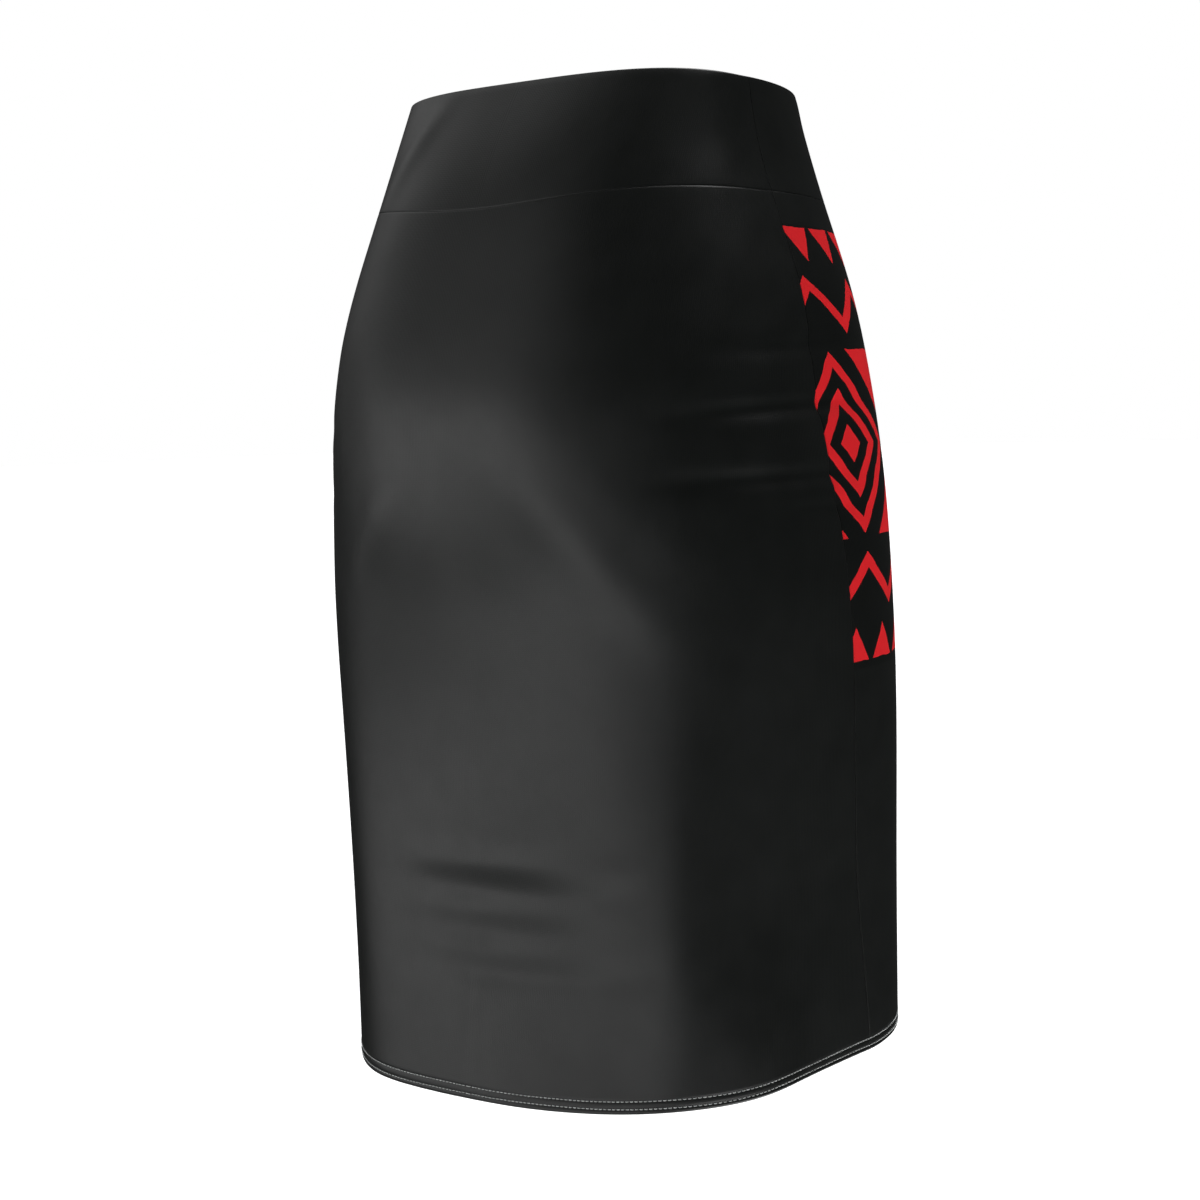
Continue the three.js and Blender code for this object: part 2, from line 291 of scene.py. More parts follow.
@dataclass
class SkirtForm:
    """The outer face of the filled-out skirt, as a function of girth and drop."""

    length: float = 580.0
    waist_tilt: float = 10.0
    hem_tilt: float = 25.0
    band_depth: float = 67.0
    band_dip: float = 8.0
    band_dip_reach: float = 35.0
    band_dip_power: int = 4  # the higher, the more the dip keeps to the centre back
    level_step: float = 4.0
    ring_samples: int = 401
    probe: float = 0.8
    rings: tuple[Ring, ...] = RINGS
    folds: tuple[Fold, ...] = FOLDS

    @cached_property
    def ring_sizes(self) -> Callable[[np.ndarray], np.ndarray]:
        """The ring's sizes at any drop, in the order of Ring's fields after the drop."""
        rows = np.array([list(vars(ring).values()) for ring in self.rings], float)
        return natural_spline(rows[:, 0], rows[:, 1:])

    def ring_points(self, half: Half, drop: np.ndarray, angle: np.ndarray) -> np.ndarray:
        """Find points of the rings, seen from above.

        Args:
            half: the half of the girth that the angles are in.
            drop: the level of each point.
            angle: its angle, from the wearer's left seam by way of the back.

        Returns:
            X and Y of each point.
        """
        sizes = self.ring_sizes(drop)
        behind = half is Half.BACK
        depth, square = (sizes[..., 2], sizes[..., 4]) if behind else (sizes[..., 3], sizes[..., 5])
        across, along = np.cos(angle), np.sin(angle)
        x = sizes[..., 0] * np.sign(across) * np.abs(across) ** (2 / square)
        y = sizes[..., 1] + depth * np.sign(along) * np.abs(along) ** (2 / square)
        return np.stack([x, y], -1)

    @cached_property
    def measured(self) -> dict[Half, tuple[np.ndarray, np.ndarray]]:
        """For each half, its girth at each level and the angle at each share of that girth."""
        levels = np.arange(0, self.length + self.level_step, self.level_step)
        easing = (1 - np.cos(np.linspace(0, math.pi, self.ring_samples))) / 2
        shares = np.linspace(0, 1, self.ring_samples)
        found = {}
        for half in Half:
            angles = half.value + math.pi * easing
            girths, turns = [], []
            for level in levels:
                points = self.ring_points(half, np.full(self.ring_samples, level), angles)
                runs = np.hypot(*np.diff(points, axis=0).T)
                lengths = np.concatenate([[0], np.cumsum(runs)])
                girths.append(lengths[-1])
                turns.append(np.interp(shares * lengths[-1], lengths, angles))
            found[half] = np.array(girths), np.array(turns)
        return found

    def half_girth(self, half: Half, drop: np.ndarray | float) -> np.ndarray:
        """Give the half's girth from seam to seam at each drop."""
        girths = self.measured[half][0]
        return np.interp(drop, np.arange(len(girths)) * self.level_step, girths)

    def angle_at(self, half: Half, drop: np.ndarray, share: np.ndarray) -> np.ndarray:
        """Give the angle at each share of the half's girth."""
        turns = self.measured[half][1]
        level = np.clip(drop / self.level_step, 0, len(turns) - LAST_PLACE)
        place = np.clip(share, 0, 1) * (self.ring_samples - 1)
        place = np.minimum(place, self.ring_samples - LAST_PLACE)
        i, j = level.astype(int), place.astype(int)
        down, along = level - i, place - j
        upper = turns[i, j] * (1 - along) + turns[i, j + 1] * along
        lower = turns[i + 1, j] * (1 - along) + turns[i + 1, j + 1] * along
        return upper * (1 - down) + lower * down

    def girth_from_back(self, half: Half, drop: np.ndarray, share: np.ndarray) -> np.ndarray:
        """Give the girth from the centre back, positive towards the wearer's right."""
        back = self.half_girth(Half.BACK, drop)
        if half is Half.BACK:
            return (share - 0.5) * back
        front = self.half_girth(Half.FRONT, drop)
        return np.where(share < 0.5, back / 2 + share * front, -back / 2 - (1 - share) * front)

    def plain_points(self, half: Half, drop: np.ndarray, share: np.ndarray) -> np.ndarray:
        """Give points of the form as it is without folds."""
        angle = self.angle_at(half, drop, share)
        lean = np.sin(angle)
        waist = self.waist_tilt / 2 * lean
        hem = (self.waist_tilt + self.hem_tilt) / 2 - self.length - self.hem_tilt / 2 * lean
        z = waist + (hem - waist) * drop / self.length
        return np.concatenate([self.ring_points(half, drop, angle), z[..., None]], -1)

    def dipped(self, half: Half, row: np.ndarray, share: np.ndarray) -> np.ndarray:
        """Give each row's drop once the waistband's seam has pulled it down at the centre back."""
        if half is Half.FRONT:
            return row + 0 * share
        lobe = np.sin(math.pi * np.clip(share, 0, 1)) ** self.band_dip_power
        reach = np.exp(-(((row - self.band_depth) / self.band_dip_reach) ** 2))
        return np.minimum(row + self.band_dip * lobe * reach, self.length)

    def face_points(self, half: Half, row: np.ndarray, share: np.ndarray) -> np.ndarray:
        """Find points of the cloth's outer face, folds and all.

        Args:
            half: the half of the girth.
            row: the row's drop at the side seams.
            share: the share of the half's girth, from its first seam.

        Returns:
            X, Y and Z of each point.
        """
        drop = self.dipped(half, row, share)
        step = self.probe / self.half_girth(half, drop)
        before = self.plain_points(half, drop, share - step)
        after = self.plain_points(half, drop, share + step)
        run = (after - before)[..., :2]
        outwards = np.stack([run[..., 1], -run[..., 0]], -1)
        outwards /= np.linalg.norm(outwards, axis=-1, keepdims=True)
        girth = self.girth_from_back(half, drop, share)
        lift = sum(fold.lift(girth, drop) for fold in self.folds)
        points = self.plain_points(half, drop, share)
        points[..., :2] += outwards * lift[..., None]
        return points

    def face_normals(self, half: Half, row: np.ndarray, share: np.ndarray) -> np.ndarray:
        """Give the outward direction of the cloth's face at each place."""
        step = self.probe / self.half_girth(half, row)
        above, below = np.maximum(row - self.probe, 0), np.minimum(row + self.probe, self.length)
        across = self.face_points(half, row, share + step) - self.face_points(half, row, share - step)
        up = self.face_points(half, above, share) - self.face_points(half, below, share)
        normals = np.cross(across, up)
        return normals / np.linalg.norm(normals, axis=-1, keepdims=True)

    def cloth_points(
        self, half: Half, row: np.ndarray, share: np.ndarray, inset: np.ndarray | float
    ) -> np.ndarray:
        """Find points at a depth inside the cloth's outer face.

        Args:
            half: the half of the girth.
            row: the row's drop at the side seams.
            share: the share of the half's girth, from its first seam.
            inset: how far inside the outer face each point lies.

        Returns:
            X, Y and Z of each point, in metres.
        """
        row, share, inset = np.broadcast_arrays(row, share, inset)
        depth = inset[..., None] * self.face_normals(half, row, share)
        return (self.face_points(half, row, share) - depth) * MM


def make_object(
    name: str, mesh: bpy.types.Mesh, slot: str, *materials: bpy.types.Material
) -> bpy.types.Object:
    """Put a mesh in the scene as a piece of the skirt.

    Args:
        name: the piece's name.
        mesh: its mesh.
        slot: the record's material slot, which is not used.
        *materials: the mesh's materials, in the order of its material numbers.

    Returns:
        The piece, riding on the root body.
    """
    piece = bpy.data.objects.new(name, mesh)
    for material in materials:
        mesh.materials.append(material)
    bpy.context.scene.collection.objects.link(piece)
    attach(piece, ROOT)
    LOG.info("%s: %d faces", name, len(mesh.polygons))
    return piece


@dataclass(frozen=True)
class Rib:
    """One row of a wall: its drop, and how deep its outer and inner faces lie inside the form."""

    drop: float
    outer: float
    inner: float
    turned: bool = False  # its inner face shows the right side of the cloth


def wall_mesh(
    name: str, outer: np.ndarray, inner: np.ndarray, cloth_map: np.ndarray, reverse_rows: np.ndarray
) -> bpy.types.Mesh:
    """Make a closed wall between two grids of points.

    Args:
        name: the mesh's name.
        outer: outer points, by row and column, in metres.
        inner: inner points, in the same order.
        cloth_map: girth and drop of each grid point, in metres, for the cloth's patterns.
        reverse_rows: for each gap between rows, whether its inner face is the reverse of the cloth.

    Returns:
        The mesh, where the reverse of the cloth has material number 1.
    """
    rows, columns = outer.shape[:2]
    out, back = np.arange(2 * rows * columns).reshape(2, rows, columns)
    quads = [
        np.stack([out[:-1, :-1], out[1:, :-1], out[1:, 1:], out[:-1, 1:]], -1).reshape(-1, 4),
        np.stack([out[:-1, 0], back[:-1, 0], back[1:, 0], out[1:, 0]], -1),
        np.stack([out[:-1, -1], out[1:, -1], back[1:, -1], back[:-1, -1]], -1),
        np.stack([out[0, :-1], out[0, 1:], back[0, 1:], back[0, :-1]], -1),
        np.stack([out[-1, :-1], back[-1, :-1], back[-1, 1:], out[-1, 1:]], -1),
        np.stack([back[:-1, :-1], back[:-1, 1:], back[1:, 1:], back[1:, :-1]], -1).reshape(-1, 4),
    ]
    faces = np.concatenate(quads)
    mesh = bpy.data.meshes.new(name)
    mesh.from_pydata(np.concatenate([outer.reshape(-1, 3), inner.reshape(-1, 3)]), [], faces.tolist())
    inside = np.zeros(len(faces), np.int32)
    inside[-len(quads[-1]) :] = np.repeat(reverse_rows, columns - 1)
    mesh.polygons.foreach_set("material_index", inside)
    mesh.polygons.foreach_set("use_smooth", np.ones(len(faces), bool))
    layer = mesh.uv_layers.new(name=CLOTH_MAP)
    places = np.concatenate([cloth_map.reshape(-1, 2)] * 2)
    layer.data.foreach_set("uv", places[faces.ravel()].astype(np.float32).ravel())
    mesh.set_sharp_from_angle(angle=math.radians(CREASE_ANGLE))
    mesh.validate()
    return mesh


def thread_mesh(
    name: str, paths: np.ndarray, sides: np.ndarray, radius: float, corners: int = 6
) -> bpy.types.Mesh:
    """Make many short tubes of thread as one mesh.

    Args:
        name: the mesh's name.
        paths: points by thread and place along it, in metres.
        sides: for each of those points, a direction out of the cloth.
        radius: half the thread's thickness, in metres.
        corners: how many sides each tube has.

    Returns:
        The mesh.
    """
    count, steps = paths.shape[:2]
    along = np.gradient(paths, axis=1)
    along /= np.linalg.norm(along, axis=-1, keepdims=True)
    across = np.cross(along, sides)
    across /= np.linalg.norm(across, axis=-1, keepdims=True)
    up = np.cross(across, along)
    turn = np.arange(corners) * math.tau / corners
    ring = across[..., None, :] * np.cos(turn)[:, None] + up[..., None, :] * np.sin(turn)[:, None]
    points = paths[..., None, :] + radius * ring
    number = np.arange(points[..., 0].size).reshape(count, steps, corners)
    turned = np.roll(number, -1, axis=2)
    tube = np.stack([number[:, :-1], turned[:, :-1], turned[:, 1:], number[:, 1:]], -1).reshape(-1, 4)
    caps = [*number[:, 0, ::-1].tolist(), *number[:, -1].tolist()]
    mesh = bpy.data.meshes.new(name)
    mesh.from_pydata(points.reshape(-1, 3), [], [*tube.tolist(), *caps])
    mesh.polygons.foreach_set("use_smooth", np.ones(len(mesh.polygons), bool))
    mesh.validate()
    return mesh


@dataclass(frozen=True)
class KnitFinish:
    """Polyester and elastane double knit, dyed black and heat-set smooth.

    The filament yarn is smooth, so the cloth is nearly matt with one broad, soft sheen where it faces
    a light, and its fine ribs only show as a slight grain in that sheen.
    """

    name: str = "black_double_knit"
    face: str = "#121413"
    worn: str = "#151716"
    roughness: float = 0.36
    roughness_swing: float = 0.02
    specular: float = 0.35
    sheen: float = 0.0
    sheen_roughness: float = 0.5
    ior: float = 1.5  # polyester
    # The real ribs are 0.6 mm apart. They are drawn twice as wide, because finer ones would not show.
    wale: float = 1.25
    course: float = 1.05
    knit_height: float = 0.035
    loop_share: float = 0.25  # how high a loop stands, as a share of its rib's height
    crinkle: float = 9.0
    crinkle_height: float = 0.04
    patch: float = 33.0  # how wide a rubbed patch is
    smear: float = 20.0  # how wide a smoother or duller place is
    smear_range: tuple[float, float] = (0.3, 0.7)  # the noise at which it is smoothest, and dullest

    def colour(self, tree: bpy.types.NodeTree, place: bpy.types.Node) -> Plug:
        """Give the cloth's colour: black, a little greyer in patches where it has rubbed.

        Args:
            tree: the material's nodes.
            place: the node that gives girth and drop, in millimetres.

        Returns:
            A plug for the base colour.
        """
        patches = add_noise(tree, place, self.patch, 3.0)
        share = add_node(tree, "ShaderNodeMapRange", {0: patches, 1: NOISE_LOW, 2: NOISE_HIGH})
        return add_mix(tree, share, linear(self.face), linear(self.worn))

    def height(self, tree: bpy.types.NodeTree, place: bpy.types.Node) -> bpy.types.Node:
        """Give the height of the knit's ribs and loops, in millimetres.

        Args:
            tree: the material's nodes.
            place: the node that gives girth and drop, in millimetres.

        Returns:
            A node whose first output is the height.
        """
        split = add_node(tree, "ShaderNodeSeparateXYZ", {0: place})
        girth, drop = split.outputs[0], split.outputs[1]
        rib = add_node(tree, "ShaderNodeMath", {0: girth, 1: self.wale / 2}, operation="PINGPONG")
        # A loop's two legs lean, so each course rises towards the middle of its rib.
        phase = add_node(tree, "ShaderNodeMath", {0: drop, 1: rib}, operation="ADD")
        turn = add_node(tree, "ShaderNodeMath", {0: phase, 1: math.tau / self.course}, operation="MULTIPLY")
        loop = add_node(tree, "ShaderNodeMath", {0: turn}, operation="SINE")
        rise = 2 * self.knit_height / self.wale
        ribs = add_node(tree, "ShaderNodeMath", {0: rib, 1: rise}, operation="MULTIPLY")
        plugs = {0: loop, 1: self.knit_height * self.loop_share, 2: ribs}
        knit = add_node(tree, "ShaderNodeMath", plugs, operation="MULTIPLY_ADD")
        crinkle = add_noise(tree, place, self.crinkle)
        plugs = {0: crinkle, 1: self.crinkle_height, 2: knit}
        return add_node(tree, "ShaderNodeMath", plugs, operation="MULTIPLY_ADD")

    def material(self) -> bpy.types.Material:
        """Build the material from its parts."""
        material = bpy.data.materials.new(self.name)
        tree = empty_tree(material)
        where = add_node(tree, "ShaderNodeUVMap", uv_map=CLOTH_MAP)
        plugs = {0: where, 1: (1 / MM, 1 / MM, 1 / MM)}
        place = add_node(tree, "ShaderNodeVectorMath", plugs, operation="MULTIPLY")
        bump = add_node(
            tree, "ShaderNodeBump", {"Height": self.height(tree, place), "Distance": MM, "Strength": 1.0}
        )
        smear = add_noise(tree, place, self.smear, 4.0)
        low, high = self.smear_range
        smooth, dull = self.roughness - self.roughness_swing, self.roughness + self.roughness_swing
        rough = add_node(tree, "ShaderNodeMapRange", {0: smear, 1: low, 2: high, 3: smooth, 4: dull})
        shader = add_node(
            tree,
            "ShaderNodeBsdfPrincipled",
            {
                "Base Color": self.colour(tree, place),
                "Roughness": rough,
                "IOR": self.ior,
                "Specular IOR Level": self.specular,
                "Sheen Weight": self.sheen,
                "Sheen Roughness": self.sheen_roughness,
                "Normal": bump,
            },
        )
        add_node(tree, "ShaderNodeOutputMaterial", {"Surface": shader})
        return material


@dataclass(frozen=True)
class Motif:
    """A row of zigzags, triangles or diamonds round the front, between two drops.

    Height is counted downwards from its level in units of its reach, on both sides of it for a diamond.
    Distance from the nearest peak, 1 midway to the next, is added to it, or taken off where the sides
    slope downwards. The motif is inked where the sum is between low and high.
    """

    top: float
    bottom: float
    period: float
    level: float
    reach: float
    low: float
    high: float
    slope: float = 1.0
    diamond: bool = False


MOTIFS = (
    # Small triangles that hang from the upper edge
    Motif(top=89, bottom=113, period=30, level=89, reach=24, low=-1, high=0.85),
    # A zigzag line
    Motif(top=116, bottom=154, period=56, level=122, reach=24, low=-0.18, high=0.2, slope=-1),
    # Nested diamonds, with the corners between them filled
    *(
        Motif(top=160, bottom=270, period=112, level=215, reach=56, low=low, high=high, diamond=True)
        for low, high in ((-1, 0.2), (0.4, 0.57), (0.78, 0.95), (1.32, 2))
    ),
    # A second zigzag line, and small triangles that stand on the lower edge
    Motif(top=276, bottom=314, period=56, level=283, reach=24, low=-0.18, high=0.2, slope=-1),
    Motif(top=318, bottom=342, period=30, level=318, reach=24, low=0.15, high=2, slope=-1),
)


@dataclass(frozen=True)
class PrintedKnitFinish(KnitFinish):
    """The same knit with a red geometric motif printed by heat transfer, so the dye lies in the yarn.

    The print has no edge or gloss of its own. Its black ground is a shade deeper than the dyed cloth,
    and its lines are a little uneven, as if cut by hand.
    """

    name: str = "printed_double_knit"
    ground: str = "#0f1110"
    red: str = "#f2282f"
    deep_red: str = "#ea262c"
    top: float = 86.0
    bottom: float = 345.0
    sway: float = 3.0
    sway_scale: float = 16.0
    fibre: float = 2.5
    motifs: tuple[Motif, ...] = MOTIFS

    def ink(self, tree: bpy.types.NodeTree, place: bpy.types.Node) -> bpy.types.Node:
        """Draw all the motifs.

        Args:
            tree: the material's nodes.
            place: the node that gives girth and drop, in millimetres.

        Returns:
            A node whose first output is 1 where there is ink.
        """
        noise = add_noise(tree, place, self.sway_scale)
        plugs = {0: noise.outputs["Color"], 1: (self.sway, self.sway, 0), 2: place}
        swayed = add_node(tree, "ShaderNodeVectorMath", plugs, operation="MULTIPLY_ADD")
        girth, drop, _ = add_node(tree, "ShaderNodeSeparateXYZ", {0: swayed}).outputs
        total: Plug = 0.0
        for motif in self.motifs:
            half = motif.period / 2
            peak = add_node(tree, "ShaderNodeMath", {0: girth, 1: half}, operation="PINGPONG")
            plugs = {0: drop, 1: 1 / motif.reach, 2: -motif.level / motif.reach}
            height = add_node(tree, "ShaderNodeMath", plugs, operation="MULTIPLY_ADD")
            if motif.diamond:
                height = add_node(tree, "ShaderNodeMath", {0: height}, operation="ABSOLUTE")
            plugs = {0: peak, 1: motif.slope / half, 2: height}
            outline = add_node(tree, "ShaderNodeMath", plugs, operation="MULTIPLY_ADD")
            inked = add_range_test(tree, outline, motif.low, motif.high)
            band = add_range_test(tree, drop, motif.top, motif.bottom)
            drawn = add_node(tree, "ShaderNodeMath", {0: inked, 1: band}, operation="MULTIPLY")
            total = add_node(tree, "ShaderNodeMath", {0: total, 1: drawn}, operation="ADD")
        return total

    def colour(self, tree: bpy.types.NodeTree, place: bpy.types.Node) -> Plug:
        """Give the cloth's colour, with the printed field across its whole width."""
        drop = add_node(tree, "ShaderNodeSeparateXYZ", {0: place}).outputs[1]
        fibres = add_noise(tree, place, self.fibre, 3.0)
        red = add_mix(tree, fibres, linear(self.deep_red), linear(self.red))
        printed = add_mix(tree, self.ink(tree, place), linear(self.ground), red)
        printed_here = add_range_test(tree, drop, self.top, self.bottom)
        return add_mix(tree, printed_here, super().colour(tree, place), printed)


@dataclass(frozen=True)
class ReverseFinish(KnitFinish):
    """The reverse of the knit: looser loops and no heat setting, so it is flatter and greyer."""

    name: str = "knit_reverse"
    face: str = "#232524"
    worn: str = "#292b2a"
    roughness: float = 0.72
    specular: float = 0.2
    sheen: float = 0.12
    knit_height: float = 0.09


@dataclass(frozen=True)
class ThreadFinish:
    """Spun polyester sewing thread: short fibres twisted together, so it is dull and slightly fuzzy."""

    name: str
    colour: str
    shade: str
    # The real twist is 0.4 mm long. It is drawn as flecks of 1.2 mm, which still show.
    fleck: float = 1.2
    fleck_height: float = 0.1
    relief: float = 0.6
    roughness: float = 0.75
    fuzz: float = 0.3

    def material(self) -> bpy.types.Material:
        """Build the material from its parts."""
        material = bpy.data.materials.new(self.name)
        tree = empty_tree(material)
        where = add_node(tree, "ShaderNodeTexCoord")
        flecks = add_noise(tree, where.outputs["Object"], self.fleck * MM)
        share = add_node(tree, "ShaderNodeMapRange", {0: flecks, 1: NOISE_LOW, 2: NOISE_HIGH})
        tone = add_mix(tree, share, linear(self.shade), linear(self.colour))
        plugs = {"Height": flecks, "Distance": self.fleck_height * MM, "Strength": self.relief}
        bump = add_node(tree, "ShaderNodeBump", plugs)
        shader = add_node(
            tree,
            "ShaderNodeBsdfPrincipled",
            {
                "Base Color": tone,
                "Roughness": self.roughness,
                "Sheen Weight": self.fuzz,
                "Normal": bump,
            },
        )
        add_node(tree, "ShaderNodeOutputMaterial", {"Surface": shader})
        return material


@dataclass(frozen=True)
class Finishes:
    """The finished materials, each made once."""

    knit: bpy.types.Material = field(default_factory=lambda: KnitFinish().material())
    printed: bpy.types.Material = field(default_factory=lambda: PrintedKnitFinish().material())
    reverse: bpy.types.Material = field(default_factory=lambda: ReverseFinish().material())
    grey_thread: bpy.types.Material = field(
        default_factory=lambda: ThreadFinish("pale_grey_thread", "#dcdfde", "#b6bab9").material()
    )
    black_thread: bpy.types.Material = field(
        default_factory=lambda: ThreadFinish("black_thread", "#2b2d2c", "#1b1d1c").material()
    )


@dataclass(frozen=True)
class Wall:
    """Thicknesses, gaps and edges that all the cut pieces share."""

    cloth: float = 1.2
    hem_depth: float = 10.0
    seam_gap: float = 0.04  # sewn edges all but touch, where the solids stay 0.3 mm apart
    # How deep the cloth turns in at a sewn edge, for some distances from that edge
    roll: tuple[tuple[float, float], ...] = ((0, 0.5), (0.1, 0.14), (0.3, 0.03), (1.2, 0))
    # How deep a row of stitches pulls the cloth in, for some distances from its middle
    pull: tuple[tuple[float, float], ...] = ((-1.2, 0), (-0.5, 0.12), (0, 0.25), (0.5, 0.12), (1.2, 0))
    hem_rows: tuple[float, float] = (7.3, 3.1)
    fold_turns: tuple[float, ...] = (0, 30, 55, 75, 86)
    # How much thinner the turned-up hem is near its edge inside, for two distances below that edge
    hem_edge: tuple[tuple[float, float], ...] = ((0.1, 0.2), (0.5, 0))

    def fold_ribs(self, edge: float, way: int) -> list[Rib]:
        """Round off a folded edge.

        Args:
            edge: the drop of the fold.
            way: 1 where the cloth lies above the fold, and -1 where it lies below.

        Returns:
            Ribs from the cloth towards the fold.
        """
        ribs = []
        for turn in self.fold_turns:
            reach, depth = (self.cloth * wave(math.radians(turn)) for wave in (math.sin, math.cos))
            drop = edge - way * (self.cloth - reach)
            ribs.append(Rib(drop, self.cloth - depth, self.cloth + depth, True))
        return ribs

    def panel_ribs(
        self, top: float, length: float, stretches: tuple[tuple[float, float], ...]
    ) -> list[Rib]:
        """Lay out a panel's rows from the waistband's seam to the hem.

        Args:
            top: the drop of its sewn upper edge.
            length: the drop of the hem.
            stretches: where each stretch of rows ends, and the step between its rows.

        Returns:
            The panel's ribs.
        """
        ribs = [Rib(top + distance, depth, self.cloth) for distance, depth in self.roll]
        turned_up, double = length - self.hem_depth, 2 * self.cloth
        for end, step in (*stretches, (turned_up, stretches[-1][1])):
            start = ribs[-1].drop
            count = round((end - start) / step)
            ribs += [Rib(start + (end - start) * i / count, 0, self.cloth) for i in range(1, count + 1)]
        ribs += [Rib(turned_up + below, 0, double - thinner, True) for below, thinner in self.hem_edge]
        for row in self.hem_rows:
            ribs += [Rib(length - row + distance, depth, double, True) for distance, depth in self.pull]
        return ribs + self.fold_ribs(length, 1)

    def band_ribs(self, seam: float, step: float) -> list[Rib]:
        """Lay out the waistband's rows from its folded upper edge to its seam.

        Args:
            seam: the drop of its sewn lower edge.
            step: the distance between rows.

        Returns:
            The waistband's ribs.
        """
        double = 2 * self.cloth
        ribs = self.fold_ribs(0, -1)[::-1]
        start, end = ribs[-1].drop, seam - self.roll[-1][0]
        count = round((end - start) / step)
        ribs += [Rib(start + (end - start) * i / count, 0, double, True) for i in range(1, count)]
        return ribs + [Rib(seam - distance, depth, double, True) for distance, depth in reversed(self.roll)]


@dataclass
class ClothPiece:
    """A cut piece of knit, as a thin closed shell on the form."""

    form: SkirtForm
    wall: Wall
    node: str
    half: Half
    ribs: list[Rib]
    slot: str = "black_knit"
    column_step: float = 3.2

    def shares(self, drops: np.ndarray) -> tuple[np.ndarray, np.ndarray]:
        """Place the columns: close together at the rolled edges, even between them.

        Args:
            drops: the drop of each row.

        Returns:
            The share of the half's girth by row and column, and the roll's depth at each column.
        """
        girth = self.form.half_girth(self.half, drops)[:, None]
        distances, depths = np.array(self.wall.roll).T
        steps = distances + self.wall.seam_gap / 2
        middle = np.linspace(0, 1, round(girth.max() / self.column_step))[1:-1]
        inner = steps[-1] + (girth - 2 * steps[-1]) * middle
        left = np.broadcast_to(steps, (len(drops), len(steps)))
        places = np.concatenate([left, inner, girth - left[:, ::-1]], 1)
        return places / girth, np.concatenate([depths, 0 * middle, depths[::-1]])

    def build(self, face: bpy.types.Material, reverse: bpy.types.Material) -> bpy.types.Object:
        """Build the shell and dress it.

        Args:
            face: the material of the cloth's right side.
            reverse: the material of its reverse.

        Returns:
            The piece, which stands for its solid.
        """
        name = f"{self.node}_cloth"
        drops, outer, inner, turned = np.array([list(vars(rib).values()) for rib in self.ribs], float).T
        shares, rolled = self.shares(drops)
        rows = np.broadcast_to(drops[:, None], shares.shape)
        skin = np.maximum(outer[:, None], rolled)
        grids = [self.form.cloth_points(self.half, rows, shares, depth) for depth in (skin, inner[:, None])]
        girth = self.form.half_girth(self.half, drops)[:, None]
        cloth_map = np.stack([(shares - 0.5) * girth, rows], -1) * MM
        mesh = wall_mesh(name, *grids, cloth_map, turned[1:] < 1)
        piece = make_object(name, mesh, self.slot, face, reverse)
        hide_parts(self.node)
        return piece


@dataclass
class HemStitching:
    """Coverstitching round the hem: two rows of topstitches, and a looper thread that joins them inside."""

    form: SkirtForm
    wall: Wall
    pitch: float = 2.7
    stitch: float = 1.65
    thread: float = 0.27  # half its thickness
    # Places along a stitch, as shares of its length, and how far each stands proud of the cloth
    arch: tuple[tuple[float, float], ...] = (
        (-0.5, -0.45),
        (-0.36, 0.0),
        (0, 0.14),
        (0.36, 0.0),
        (0.5, -0.45),
    )
    wander: float = 0.16
    wander_length: float = 31.0
    ripple: float = 0.6  # a smaller wave, as a share of the wander
    ripples: float = 2.7  # how many of them it has

    def row_drop(self, row: float, half: Half, share: np.ndarray) -> np.ndarray:
        """Give the drop of a row of stitches, which wanders a little as it was guided by hand."""
        girth = self.form.girth_from_back(half, np.full_like(share, self.form.length), share)
        turn = girth / self.wander_length
        waves = np.sin(turn + row) + self.ripple * np.sin(turn * self.ripples)
        return self.form.length - row + self.wander * waves

    def stitch_count(self, half: Half) -> int:
        """Give the number of stitches that fit between the side seams."""
        return round(float(self.form.half_girth(half, self.form.length)) / self.pitch)

    def topstitches(self) -> tuple[np.ndarray, np.ndarray]:
        """Find the paths of the stitches that show, and the directions out of the cloth along them."""
        along, proud = np.array(self.arch).T
        paths, sides = [], []
        for half in Half:
            count = self.stitch_count(half)
            share = (np.arange(count)[:, None] + 0.5 + along * self.stitch / self.pitch) / count
            for row in self.wall.hem_rows:
                drop = self.row_drop(row, half, share)
                depth = self.wall.pull[2][1] - self.thread - proud
                paths.append(self.form.cloth_points(half, drop, share, depth))
                sides.append(self.form.face_normals(half, drop, share))
        return np.concatenate(paths), np.concatenate(sides)

    def looper(self) -> tuple[np.ndarray, np.ndarray]:
        """Find the paths of the looper thread inside the hem, and the directions out of the cloth."""
        paths, sides = [], []
        for half in Half:
            count = self.stitch_count(half)
            # Each length crosses from one row to the other over half a stitch's pitch, and then back
            ends = np.arange(count)[:, None] + np.array([0.0, 0.25, 0.5])
            for start, finish in (self.wall.hem_rows, self.wall.hem_rows[::-1]):
                share = (ends + 0.5 * (start < finish)) / count
                drop = self.form.length - start + np.array([0, 0.5, 1]) * (start - finish)
                drop = np.broadcast_to(drop, share.shape)
                paths.append(self.form.cloth_points(half, drop, share, 2 * self.wall.cloth + self.thread))
                sides.append(-self.form.face_normals(half, drop, share))
        return np.concatenate(paths), np.concatenate(sides)

    def build(self, thread: bpy.types.Material) -> list[bpy.types.Object]:
        """Build both sides of the stitching.

        Args:
            thread: the thread's material.

        Returns:
            The two pieces.
        """
        pieces = []
        threads = {"hem_topstitches": self.topstitches(), "hem_looper": self.looper()}
        for name, (paths, sides) in threads.items():
            mesh = thread_mesh(name, paths, sides, self.thread * MM)
            pieces.append(make_object(name, mesh, "grey_thread", thread))
        return pieces


